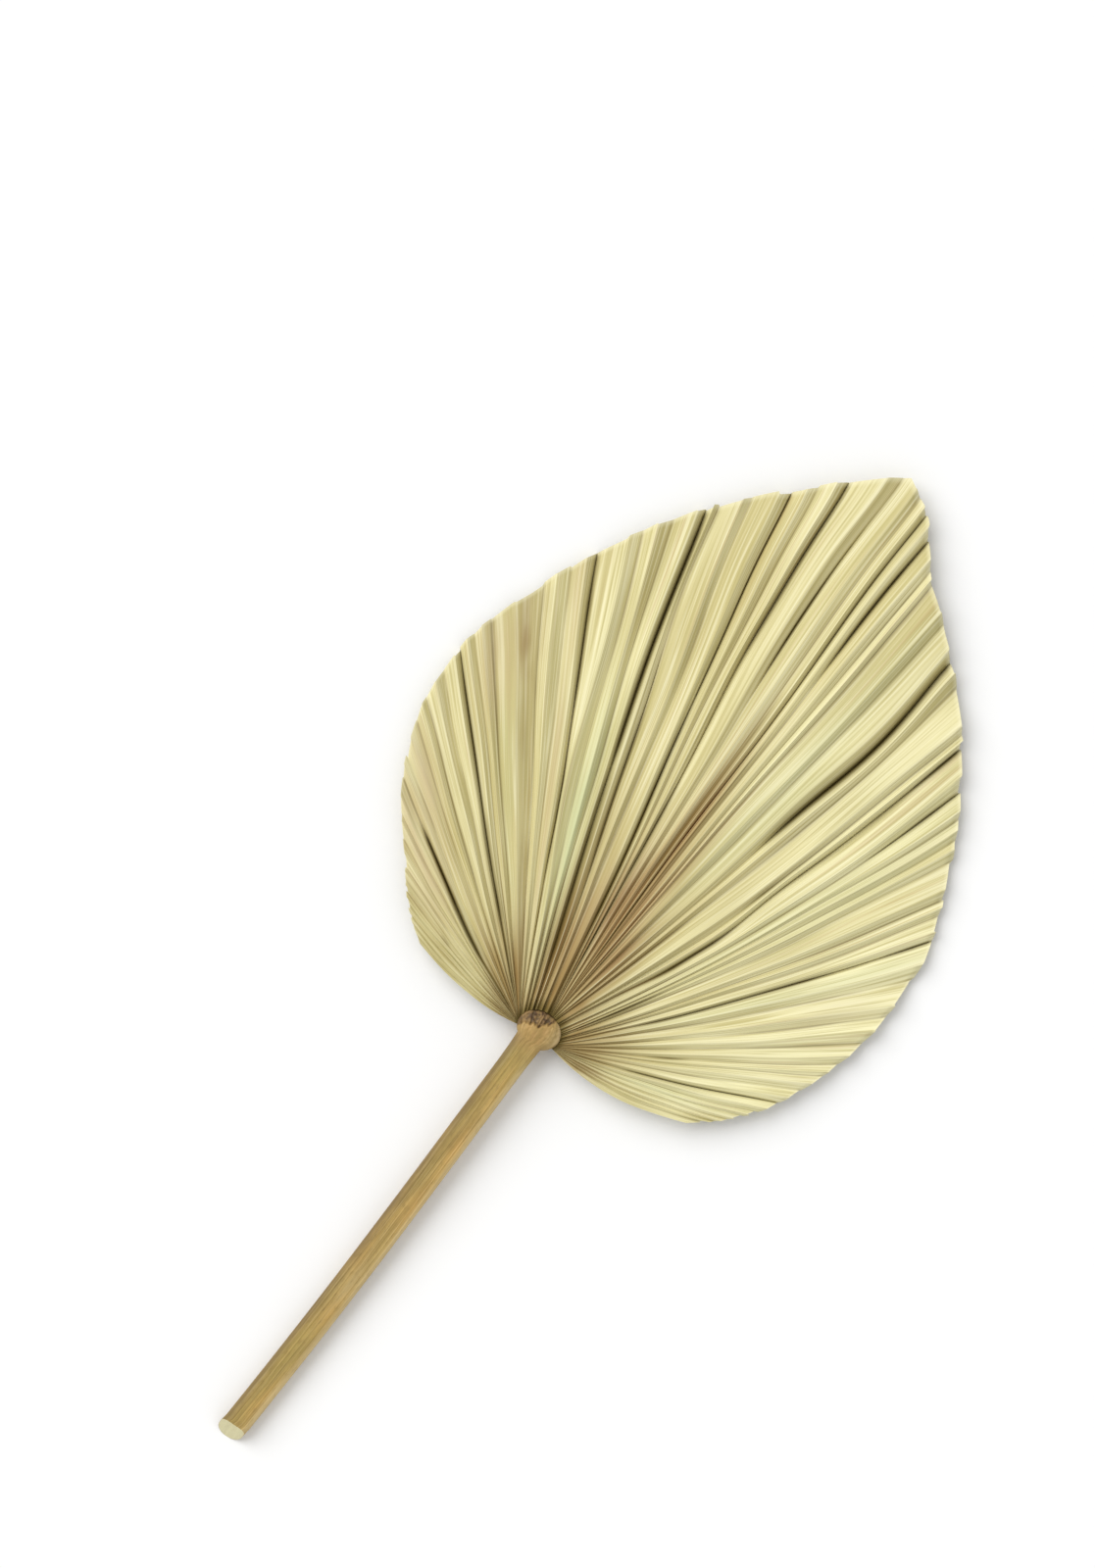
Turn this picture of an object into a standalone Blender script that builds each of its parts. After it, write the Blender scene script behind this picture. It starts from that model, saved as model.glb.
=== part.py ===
"""A dried fan palm leaf, trimmed to a spear shape, lying on a table.

Lengths are in metres. +Z is up and +Y runs along the leaf, from the stalk to the tip. The origin is on the
table, under the middle of the leaf. The leaf rests on the end of its stalk and on the lowest folds at the two
sides of its blade.

A fold line runs from the hub, where the blade joins the stalk, to the margin. It is known by its margin angle:
the direction from the hub to the line's outer end, in degrees, clockwise from the leaf's axis.
"""

import math

import bmesh
import bpy
import numpy as np

# Driving dimensions of the whole leaf
HUB_X = -0.0011
HUB_Y = -0.0302
HUB_RISE = 0.0097
BLADE_LENGTH = 0.273
BLADE_HALF_WIDTH = 0.115
BLADE_THICKNESS = 0.0007
SEAT_GAP = 0.0003

# The outline from the left base edge round the trimmed margin to the right base edge: margin angle and distance
# from the hub
MARGIN = (
    (-88, 0.060), (-72, 0.088), (-63, 0.115), (-54, 0.141), (-44, 0.163), (-35, 0.179), (-24, 0.204),
    (-8, 0.246), (0, BLADE_LENGTH), (3.3, 0.263), (7, 0.245), (12, 0.232), (20, 0.214), (32, 0.187),
    (47, 0.159), (57, 0.137), (67, 0.115), (77, 0.096), (88, 0.072),
)
FIRST_ANGLE = MARGIN[0][0]
LAST_ANGLE = MARGIN[-1][0]

# How far a fold line bows to its right halfway along, as a share of its length, by margin angle
BOW = (
    (-88, -0.060), (-80, -0.024), (-72, -0.014), (-64, -0.022), (-54, -0.010), (-44, -0.006), (-36, -0.002),
    (-27, 0), (-18, -0.006), (-9, 0.006), (0, -0.003), (9, 0.003), (18, 0.018), (25, 0.034), (30, 0.024),
    (36, 0.020), (46, 0.015), (56, 0.012), (66, 0.016), (76, 0.022), (80, 0.032), (88, 0.080),
)

# How the fold lines wander on their way: margin angle, share of the way from hub to margin, shift in degrees, and
# how far the shift reaches in degrees and in shares
DRIFTS = (
    (-63, 0.30, -1.6, 4.0, 0.20), (-26.8, 0.48, 0.7, 1.5, 0.13), (-23.8, 0.45, -2.0, 1.5, 0.20),
    (-16.3, 0.50, -0.6, 2.0, 0.30), (-14.6, 0.85, -0.9, 1.0, 0.20), (-14.6, 0.25, 0.6, 1.0, 0.20),
    (-5, 1.00, 0.9, 6.0, 0.10), (-5.2, 0.68, -0.5, 2.0, 0.12), (15, 1.00, -0.8, 2.5, 0.10),
    (15, 0.77, 0.5, 2.5, 0.12), (23, 0.40, 1.4, 2.2, 0.11),
)

# The folds: evenly spaced valleys by both base edges, and in between, as they grew, each valley with the ridge
# that follows it
BASE_PITCH = 2.2
LEFT_BASE_VALLEYS = tuple(np.arange(-86.4, -72, BASE_PITCH))
LEFT_BASE_END = -71.4
RIGHT_BASE_VALLEYS = tuple(np.arange(76.8, 87, BASE_PITCH))
GROWN_FOLDS = (
    (-69.6, -67.4), (-66.4, -64.6), (-62.3, -60.9), (-59.6, -57.5), (-55.6, -53.9), (-52.8, -50.5),
    (-48.8, -46.7), (-45.7, -44.2), (-43.0, -41.9), (-40.6, -37.1), (-33.4, -31.8), (-30.0, -27.9),
    (-26.8, -23.6), (-22.1, -20.6), (-19.2, -17.1), (-16.3, -15.4), (-14.6, -12.9), (-12.2, -10.2),
    (-9.3, -8.2), (-7.4, -6.1), (-5.2, -2.6), (-1.4, 0.4), (1.4, 2.3), (2.9, 3.7), (4.5, 5.7), (6.5, 7.1),
    (7.6, 10.2), (11.2, 13.7), (15.0, 16.0), (17.1, 20.3), (21.1, 21.7), (22.4, 25.4), (26.8, 28.6),
    (29.4, 30.5), (31.6, 32.6), (33.8, 37.0), (38.3, 39.4), (40.4, 42.3), (43.4, 46.4), (48.4, 52.0),
    (54.0, 56.3), (58.5, 60.9), (62.8, 64.3), (65.2, 66.9), (69.0, 71.2), (73.0, 75.0),
)
RIDGE_DRIFT = 0.18
RIDGE_SEED = 7
PLEAT_SLOPE = 0.42
PLEAT_LIMIT = 0.0013

# The pinched creases: margin angle, depth, and the share of the way from hub to margin where each one starts
# and ends
CREASES = (
    (-62.3, 0.0022, 0.25, 0.85), (-45.7, 0.0026, 0.25, 1.10), (-26.8, 0.0022, 0.30, 1.10),
    (-16.3, 0.0032, 0.05, 1.10), (-14.6, 0.0020, 0.00, 0.75), (-9.3, 0.0028, 0.00, 1.10),
    (-5.2, 0.0024, 0.05, 1.10), (-1.4, 0.0018, 0.60, 0.95), (2.9, 0.0020, 0.10, 1.10), (4.5, 0.0030, 0.70, 1.20),
    (15.0, 0.0042, 0.50, 1.20), (22.4, 0.0028, 0.20, 1.20), (26.8, 0.0022, 0.75, 1.20),
    (43.4, 0.0018, 0.15, 1.20), (73.0, 0.0022, 0.35, 1.10),
)
CREASE_HALF_WIDTH = 0.0018
CREASE_FADE = 0.08
CREASE_GROWTH = 1.4

# The sheet's broad shape
SIDE_DROOP = 0.0042
TIP_DROP = 0.0015
WAVE_HEIGHT = 0.0010
WAVES = 5
WAVE_START = 1.2
NOTCH_DEPTH = 0.0011
NOTCH_FULL_REACH = 0.1

# Rows of points along a fold line, as shares of the way from the hub to the margin
ROWS = (0, 0.05, 0.12, 0.21, 0.32, 0.45, 0.58, 0.72, 0.86, 1)

# The ring where the blade joins the stalk's head, with the direction from the hub in which each fold line starts
# there, by margin angle
RING_X = 0.0008
RING_HALF_WIDTH = 0.0095
RING_HALF_DEPTH = 0.0078
RING_TURNS = (
    (-88, -112), (-64, -103), (-44, -96), (-36, -92), (-27, -84), (-18, -52), (-9, 0), (0, 8), (9, 12),
    (18, 22), (24, 44), (30, 60), (36, 72), (46, 93), (56, 102), (66, 106), (88, 115),
)
PATH_LEAN = 0.45

# The stalk
STALK_HEAD_X = 0.0004
STALK_HEAD_Y = 0.0045
STALK_END_X = -0.0116
STALK_END_Y = -0.2102
STALK_HALF_WIDTH = 0.0056
STALK_TOP = 0.0030
STALK_DEPTH = 0.0052
STALK_HUB_RISE = 0.0098
STALK_STATIONS = 26
STALK_SIDES = 20
STALK_TOP_POWER = 0.4
STALK_BACK_POWER = 0.8
STALK_TIP_SCALE = 0.92
CHANNEL_DEPTH = 0.0006
CHANNEL_SHARE = 0.45
REST_LENGTH = 0.026
CUT_SLANT = 0.0070
CUT_SHARE = 0.04
STALK_BOW = 0.0012
STALK_SWAY = 0.0002
HEAD_HALF_HEIGHT = 0.0043
HEEL_LENGTH = 0.019
HEEL_HALF_WIDTH = 0.0065
HEEL_HALF_HEIGHT = 0.0026
HEEL_RISE = 0.0048
HEEL_Y = 0.006


def look_up(table, angle):
    """Read a table of (angle, value) pairs at one angle or at an array of them."""
    angles, values = zip(*table)
    return np.interp(angle, angles, values)


def base_folds(valleys, last_ridge, draw):
    """Pair each evenly spaced valley by a base edge with a ridge, drawn a little off the middle."""
    folds = []
    for valley in valleys:
        folds.append((valley, valley + BASE_PITCH * (0.5 + RIDGE_DRIFT * draw.uniform(-1, 1))))
    folds[-1] = (folds[-1][0], last_ridge)
    return folds


def fold_angles():
    """Give the margin angles of all folds, with -1 for a valley and +1 for a ridge."""
    draw = np.random.default_rng(RIDGE_SEED)
    folds = base_folds(LEFT_BASE_VALLEYS, LEFT_BASE_END, draw) + list(GROWN_FOLDS)
    folds += base_folds(RIGHT_BASE_VALLEYS, LAST_ANGLE, draw)
    angles = np.concatenate([[FIRST_ANGLE], np.ravel(folds)])
    return angles, np.where(np.arange(len(angles)) % 2, -1, 1)


FOLD_ANGLES, FOLD_SIGNS = fold_angles()


def crease_width(angle):
    """Give the half width of a crease in degrees of margin angle."""
    return math.degrees(CREASE_HALF_WIDTH / look_up(MARGIN, angle))


def column_angles():
    """Give the margin angles of all lines of points: the folds and both shoulders of each crease."""
    shoulders = [c[0] + side * crease_width(c[0]) for c in CREASES for side in (-1, 1)]
    return np.sort(np.concatenate([FOLD_ANGLES, shoulders]))


COLUMNS = column_angles()


def ring_point(angle):
    """Find the place on the hub's ring where a fold line starts."""
    turn = np.radians(look_up(RING_TURNS, angle))
    return np.stack([RING_X + RING_HALF_WIDTH * np.sin(turn), RING_HALF_DEPTH * np.cos(turn)], -1)


def drifted(angle, share):
    """Give the margin angle that a wandering fold line has moved to at a share of its way."""
    moved = angle.copy()
    for middle, at, shift, wide, long in DRIFTS:
        moved += shift * np.exp(-(((angle - middle) / wide) ** 2) - ((share - at) / long) ** 2)
    return moved


def margin_point(angle, moved):
    """Find the outer end of a fold line, a little further in at a valley than at a ridge."""
    notch = np.interp(angle, FOLD_ANGLES, np.where(FOLD_SIGNS < 0, NOTCH_DEPTH, 0))
    reach = look_up(MARGIN, moved)
    reach = reach - notch * np.clip(reach / NOTCH_FULL_REACH, 0, 1)
    turn = np.radians(moved)
    return np.stack([reach * np.sin(turn), reach * np.cos(turn)], -1)


def fold_point(angle, share):
    """Follow a fold line from the ring (share 0) to the margin (share 1), seen from above."""
    moved = drifted(angle, share)
    start = ring_point(moved)
    end = margin_point(angle, moved)
    run = end - start
    right = np.stack([run[..., 1], -run[..., 0]], -1)
    middle = start + PATH_LEAN * run + 2 * look_up(BOW, moved)[..., None] * right
    t = share[..., None]
    return (1 - t) ** 2 * start + 2 * t * (1 - t) * middle + t * t * end


def sheet_height(place, angle, share):
    """Give the broad height of the sheet, before its pleats."""
    across = place[..., 0] / BLADE_HALF_WIDTH
    along = np.clip(place[..., 1] / BLADE_LENGTH, 0, 1)
    wave = WAVE_HEIGHT * share * np.sin(np.radians(angle) * WAVES + WAVE_START)
    return HUB_RISE - SIDE_DROOP * across ** 2 - TIP_DROP * along ** 2 + wave


def pleat_height(angle, share):
    """Give the rise or fall of the pleats at angles along one row."""
    at = np.full(len(FOLD_ANGLES), share)
    folds = fold_point(FOLD_ANGLES, at)
    steps = np.linalg.norm(np.diff(folds, axis=0), axis=1)
    widths = 0.5 * (np.append(steps, steps[-1]) + np.insert(steps, 0, steps[0]))
    heights = FOLD_SIGNS * np.minimum(PLEAT_LIMIT, 0.5 * PLEAT_SLOPE * widths)
    return np.interp(angle, FOLD_ANGLES, heights)


def crease_height(angle, share):
    """Give the extra fall of the pinched creases at angles along one row."""
    fall = np.zeros(len(angle))
    for middle, depth, first, last in CREASES:
        window = np.clip((share - first) / CREASE_FADE, 0, 1) * np.clip((last - share) / CREASE_FADE, 0, 1)
        near = np.clip(1 - np.abs(angle - middle) / crease_width(middle), 0, 1)
        fall += depth * window * min(1, CREASE_GROWTH * share) * near
    return -fall


def new_object(name, mesh, collection):
    """Link a mesh as a named object."""
    thing = bpy.data.objects.new(name, mesh)
    collection.objects.link(thing)
    return thing


def grid_mesh(columns, rows):
    """Start a flat sheet as a grid whose points run row by row."""
    sheet = bmesh.new()
    bmesh.ops.create_grid(sheet, x_segments=columns - 1, y_segments=rows - 1, size=1)
    sheet.verts.ensure_lookup_table()
    return sheet


def place_blade_rows(sheet):
    """Move the grid's points onto the fold lines and give them their heights."""
    count = len(COLUMNS)
    for row, share in enumerate(ROWS):
        shares = np.full(count, float(share))
        places = fold_point(COLUMNS, shares)
        heights = sheet_height(places, COLUMNS, shares)
        heights += pleat_height(COLUMNS, share) + crease_height(COLUMNS, share)
        for column in range(count):
            x, y = places[column]
            sheet.verts[row * count + column].co = (HUB_X + x, HUB_Y + y, heights[column])


def thicken_blade(sheet):
    """Give the sheet a lower face with the same triangles, set straight down so that no fold crosses the next.

    Where a fold would go through the table it is pressed flat on it.
    """
    sheet.normal_update()
    drops = {}
    for point in sheet.verts:
        steepest = min(face.normal.z for face in point.link_faces)
        drops[point] = BLADE_THICKNESS / steepest
        point.co.z = max(point.co.z, drops[point])
    upper = list(sheet.verts)
    made = bmesh.ops.extrude_face_region(sheet, geom=list(sheet.faces), use_keep_orig=True)
    lower = [item for item in made["geom"] if isinstance(item, bmesh.types.BMVert)]
    by_place = {tuple(point.co): drops[point] for point in upper}
    for point in lower:
        point.co.z -= by_place[tuple(point.co)]
    bmesh.ops.recalc_face_normals(sheet, faces=list(sheet.faces))


def make_blade(collection):
    """Model the pleated blade."""
    sheet = grid_mesh(len(COLUMNS), len(ROWS))
    place_blade_rows(sheet)
    bmesh.ops.triangulate(sheet, faces=list(sheet.faces), quad_method="SHORT_EDGE")
    thicken_blade(sheet)
    mesh = bpy.data.meshes.new("blade")
    sheet.to_mesh(mesh)
    sheet.free()
    blade = new_object("blade", mesh, collection)
    blade.data.materials.append(material("dried_blade", (0.68, 0.60, 0.33), 0.72))
    return blade


def stalk_middle(share):
    """Follow the stalk's middle line from its head (share 0) to its cut end (share 1)."""
    x = STALK_HEAD_X + (STALK_END_X - STALK_HEAD_X) * share
    x += STALK_BOW * math.sin(math.pi * share) - STALK_SWAY * math.sin(2 * math.pi * share)
    y = STALK_HEAD_Y + (STALK_END_Y - STALK_HEAD_Y) * share
    rest_share = 1 - REST_LENGTH / (STALK_HEAD_Y - STALK_END_Y)
    fall = min(share / rest_share, 1)
    z = STALK_HUB_RISE + (STALK_DEPTH - STALK_HUB_RISE) * fall
    return x, y, z


def stalk_section(turn, scale):
    """Give one point of the stalk's section: a shallow channel above and a rounded back below."""
    across = STALK_HALF_WIDTH * scale * math.cos(turn)
    up = math.sin(turn)
    if up > 0:
        channel = CHANNEL_DEPTH * math.exp(-((math.cos(turn) / CHANNEL_SHARE) ** 2))
        return across, scale * (STALK_TOP * up ** STALK_TOP_POWER - channel)
    flat = math.cos(math.pi / STALK_SIDES) ** STALK_BACK_POWER
    return across, -scale * STALK_DEPTH * min(1, abs(up) ** STALK_BACK_POWER / flat)


def make_shaft(collection):
    """Loft the stalk's shaft from its rounded head to its slanting cut end."""
    shaft = bmesh.new()
    rings = []
    for station in range(STALK_STATIONS):
        share = station / (STALK_STATIONS - 1)
        x, y, z = stalk_middle(share)
        scale = STALK_TIP_SCALE if station == 0 else 1
        ring = []
        for side in range(STALK_SIDES):
            turn = 2 * math.pi * (side + 0.5) / STALK_SIDES
            across, up = stalk_section(turn, scale)
            slant = CUT_SLANT * (up + STALK_DEPTH) / (STALK_TOP + STALK_DEPTH) * max(0, 1 - (1 - share) / CUT_SHARE)
            ring.append(shaft.verts.new((HUB_X + x + across, HUB_Y + y + slant, z + up)))
        rings.append(ring)
    for near, far in zip(rings, rings[1:]):
        for side in range(STALK_SIDES):
            after = (side + 1) % STALK_SIDES
            shaft.faces.new((near[side], near[after], far[after], far[side]))
    shaft.faces.new(rings[0])
    shaft.faces.new(rings[-1])
    bmesh.ops.recalc_face_normals(shaft, faces=list(shaft.faces))
    mesh = bpy.data.meshes.new("stalk")
    shaft.to_mesh(mesh)
    shaft.free()
    return new_object("stalk", mesh, collection)


def make_lump(name, centre, half_sizes, collection):
    """Model a rounded lump of the stalk's head as a squashed sphere."""
    lump = bmesh.new()
    bmesh.ops.create_uvsphere(lump, u_segments=28, v_segments=12, radius=1)
    for point in lump.verts:
        for axis in range(3):
            point.co[axis] = centre[axis] + half_sizes[axis] * point.co[axis]
    mesh = bpy.data.meshes.new(name)
    lump.to_mesh(mesh)
    lump.free()
    return new_object(name, mesh, collection)


def make_stalk(collection, cutters):
    """Model the stalk: its shaft, the head that the blade grows from and the heel that runs under the blade."""
    shaft = make_shaft(collection)
    head = make_lump(
        "head",
        (HUB_X + RING_X, HUB_Y, HUB_RISE - BLADE_THICKNESS / 2),
        (RING_HALF_WIDTH - SEAT_GAP, RING_HALF_DEPTH - SEAT_GAP, HEAD_HALF_HEIGHT),
        cutters,
    )
    heel = make_lump(
        "heel", (HUB_X, HUB_Y + HEEL_Y, HEEL_RISE), (HEEL_HALF_WIDTH, HEEL_LENGTH, HEEL_HALF_HEIGHT), cutters
    )
    for lump in (head, heel):
        lump.hide_render = True
        lump.display_type = "WIRE"
        joint = shaft.modifiers.new("join_" + lump.name, "BOOLEAN")
        joint.operation = "UNION"
        joint.solver = "EXACT"
        joint.object = lump
    shaft.data.materials.append(material("dried_stalk", (0.45, 0.31, 0.13), 0.6))
    return shaft


def material(name, colour, roughness):
    """Make a plain material."""
    made = bpy.data.materials.new(name)
    made.use_nodes = True
    shader = made.node_tree.nodes["Principled BSDF"]
    shader.inputs["Base Color"].default_value = (*colour, 1)
    shader.inputs["Roughness"].default_value = roughness
    shader.inputs["Metallic"].default_value = 0
    return made


def new_collection(name):
    """Link a new collection to the scene."""
    made = bpy.data.collections.new(name)
    bpy.context.scene.collection.children.link(made)
    return made


def main():
    """Clear the scene and model the leaf."""
    for old in list(bpy.data.objects):
        bpy.data.objects.remove(old)
    leaf = new_collection("fan_palm_leaf")
    cutters = new_collection("joining_shapes")
    blade = make_blade(leaf)
    stalk = make_stalk(leaf, cutters)
    for thing in (blade, stalk):
        thing.data.shade_smooth()
        thing.data.set_sharp_from_angle(angle=math.radians(35))


main()
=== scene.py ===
"""The looks of a dried fan palm leaf, trimmed to a spear shape and lying on a pale floor.

Lengths are in metres. +Z is up and +Y runs along the leaf, from the stalk to the tip.

A fold line runs from the hub, where the blade joins the stalk, to the margin. It is known by its
margin angle: the direction from the hub to the line's outer end, in degrees, clockwise from the
leaf's axis. A share tells how far along the line a point lies, from 0 at the hub to 1 at the margin.
"""

import math

import bpy
import numpy as np
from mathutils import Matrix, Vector


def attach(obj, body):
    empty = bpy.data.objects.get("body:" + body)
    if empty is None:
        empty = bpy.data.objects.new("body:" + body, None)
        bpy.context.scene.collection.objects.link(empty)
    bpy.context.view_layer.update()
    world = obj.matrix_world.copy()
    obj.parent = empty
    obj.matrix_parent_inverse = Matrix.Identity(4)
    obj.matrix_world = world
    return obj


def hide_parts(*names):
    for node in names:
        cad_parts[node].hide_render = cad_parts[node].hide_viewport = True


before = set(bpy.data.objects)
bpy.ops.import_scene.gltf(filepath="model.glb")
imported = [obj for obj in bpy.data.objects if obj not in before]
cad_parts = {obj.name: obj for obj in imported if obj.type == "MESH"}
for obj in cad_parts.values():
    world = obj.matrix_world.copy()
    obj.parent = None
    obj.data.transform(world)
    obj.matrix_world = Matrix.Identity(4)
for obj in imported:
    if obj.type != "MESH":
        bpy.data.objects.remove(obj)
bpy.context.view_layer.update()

# The camera looks straight down, turned about its own axis as the leaf lies in the photograph
CAMERA_PLACE = (-0.0538, 0.0549, 2.01)
CAMERA_TURN = 34.16
CAMERA_DISTANCE = 2.0
VIEW_HEIGHT = 0.640
SENSOR = 36.0
CLIP_END = 20

# Light: one wide soft lamp from the upper left of the picture, and a white sky
LAMP_FROM = (-0.98, 0.19)
LAMP_ELEVATION = 43
LAMP_STRENGTH = 2.0
LAMP_SPREAD = 55
SKY_STRENGTH = 0.68
FLOOR_SIZE = 40.0
FLOOR_CELLS = 8
FLOOR_COLOUR = (0.92, 0.92, 0.915, 1)
FLOOR_ROUGHNESS = 0.9

# The leaf's driving dimensions, as in the source
HUB_X = -0.0011
HUB_Y = -0.0302
HUB_RISE = 0.0097
BLADE_LENGTH = 0.273
BLADE_HALF_WIDTH = 0.115

# The trimmed margin: margin angle, distance from the hub
MARGIN = (
    (-88, 0.060), (-72, 0.088), (-63, 0.115), (-54, 0.141), (-44, 0.163), (-35, 0.179), (-24, 0.204),
    (-8, 0.246), (0, BLADE_LENGTH), (3.3, 0.263), (7, 0.245), (12, 0.232), (20, 0.214), (32, 0.187),
    (47, 0.159), (57, 0.137), (67, 0.115), (77, 0.096), (88, 0.072),
)
FIRST_ANGLE = MARGIN[0][0]
LAST_ANGLE = MARGIN[-1][0]

# How far the fold lines bow to the right: margin angle, share of the line's length
BOW = (
    (-88, -0.060), (-80, -0.024), (-72, -0.014), (-64, -0.022), (-54, -0.010), (-44, -0.006),
    (-36, -0.002), (-27, 0), (-18, -0.006), (-9, 0.006), (0, -0.003), (9, 0.003), (18, 0.018),
    (25, 0.034), (30, 0.024), (36, 0.020), (46, 0.015), (56, 0.012), (66, 0.016), (76, 0.022),
    (80, 0.032), (88, 0.080),
)

# Where the fold lines drift sideways: margin angle, share, shift in degrees, reach in degrees and in shares
DRIFTS = (
    (-63, 0.30, -1.6, 4.0, 0.20), (-26.8, 0.48, 0.7, 1.5, 0.13), (-23.8, 0.45, -2.0, 1.5, 0.20),
    (-16.3, 0.50, -0.6, 2.0, 0.30), (-14.6, 0.85, -0.9, 1.0, 0.20), (-14.6, 0.25, 0.6, 1.0, 0.20),
    (-5, 1.00, 0.9, 6.0, 0.10), (-5.2, 0.68, -0.5, 2.0, 0.12), (15, 1.00, -0.8, 2.5, 0.10),
    (15, 0.77, 0.5, 2.5, 0.12), (23, 0.40, 1.4, 2.2, 0.11), (23, 0.26, 1.0, 1.5, 0.08),
)

# The folds: evenly spaced ones by the two base edges, and between them each valley with the ridge after it
BASE_PITCH = 2.2
LEFT_BASE_VALLEYS = tuple(np.arange(-86.4, -72, BASE_PITCH))
LEFT_BASE_END = -71.4
RIGHT_BASE_VALLEYS = tuple(np.arange(76.8, 87, BASE_PITCH))
GROWN_FOLDS = (
    (-69.6, -67.4), (-66.4, -64.6), (-62.3, -60.9), (-59.6, -57.5), (-55.6, -53.9), (-52.8, -50.5),
    (-48.8, -46.7), (-45.7, -44.2), (-43.0, -41.9), (-40.6, -37.1), (-33.4, -31.8), (-30.0, -27.9),
    (-26.8, -23.6), (-22.1, -20.6), (-19.2, -17.1), (-16.3, -15.4), (-14.6, -12.9), (-12.2, -10.2),
    (-9.3, -8.2), (-7.4, -6.1), (-5.2, -2.6), (-1.4, 0.4), (1.4, 2.3), (2.9, 3.7), (4.5, 5.7),
    (6.5, 7.1), (7.6, 10.2), (11.2, 13.7), (15.0, 16.0), (17.1, 20.3), (21.1, 21.7), (22.4, 25.4),
    (26.8, 28.6), (29.4, 30.5), (31.6, 32.6), (33.8, 37.0), (38.3, 39.4), (40.4, 42.3), (43.4, 46.4),
    (48.4, 52.0), (54.0, 56.3), (58.5, 60.9), (62.8, 64.3), (65.2, 66.9), (69.0, 71.2), (73.0, 75.0),
)
RIDGE_DRIFT = 0.18
RIDGE_SEED = 7
PLEAT_LIMIT = 0.0013

# The broad curve of the blade: how it droops to its sides and its tip, and its waves
SIDE_DROOP = 0.0042
TIP_DROP = 0.0015
WAVE_HEIGHT = 0.0010
WAVES = 5
WAVE_START = 1.2

# The ring on the hub that the fold lines start from, with their directions on it by margin angle
RING_X = 0.0008
RING_HALF_WIDTH = 0.0095
RING_HALF_DEPTH = 0.0078
RING_TURNS = (
    (-88, -112), (-64, -103), (-44, -96), (-36, -92), (-27, -84), (-18, -52), (-9, 0), (0, 8), (9, 12),
    (18, 22), (24, 44), (30, 60), (36, 72), (46, 93), (56, 102), (66, 106), (88, 115),
)
PATH_LEAN = 0.45

# The pinched creases: margin angle, depth, half width, and the shares where each one starts and ends
CREASES = (
    (-62.3, 0.0020, 0.0007, 0.25, 0.85), (-45.7, 0.0024, 0.0007, 0.25, 1.10),
    (-26.8, 0.0020, 0.0006, 0.30, 1.10), (-16.3, 0.0030, 0.0009, 0.05, 1.10),
    (-14.6, 0.0018, 0.0006, 0.00, 0.75), (-9.3, 0.0026, 0.0007, 0.00, 1.10),
    (-5.2, 0.0022, 0.0006, 0.05, 1.10), (-1.4, 0.0018, 0.0006, 0.60, 0.95),
    (2.9, 0.0020, 0.0006, 0.10, 1.10), (4.5, 0.0028, 0.0008, 0.70, 1.20),
    (15.0, 0.0038, 0.0013, 0.50, 1.20), (22.4, 0.0026, 0.0007, 0.20, 1.20),
    (26.8, 0.0020, 0.0006, 0.75, 1.20), (43.4, 0.0018, 0.0006, 0.15, 1.20),
    (73.0, 0.0020, 0.0006, 0.35, 1.10),
)
CREASE_FADE = 0.08
CREASE_GROWTH = 1.4
CREASE_LEAST_WIDTH = 0.4

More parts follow.
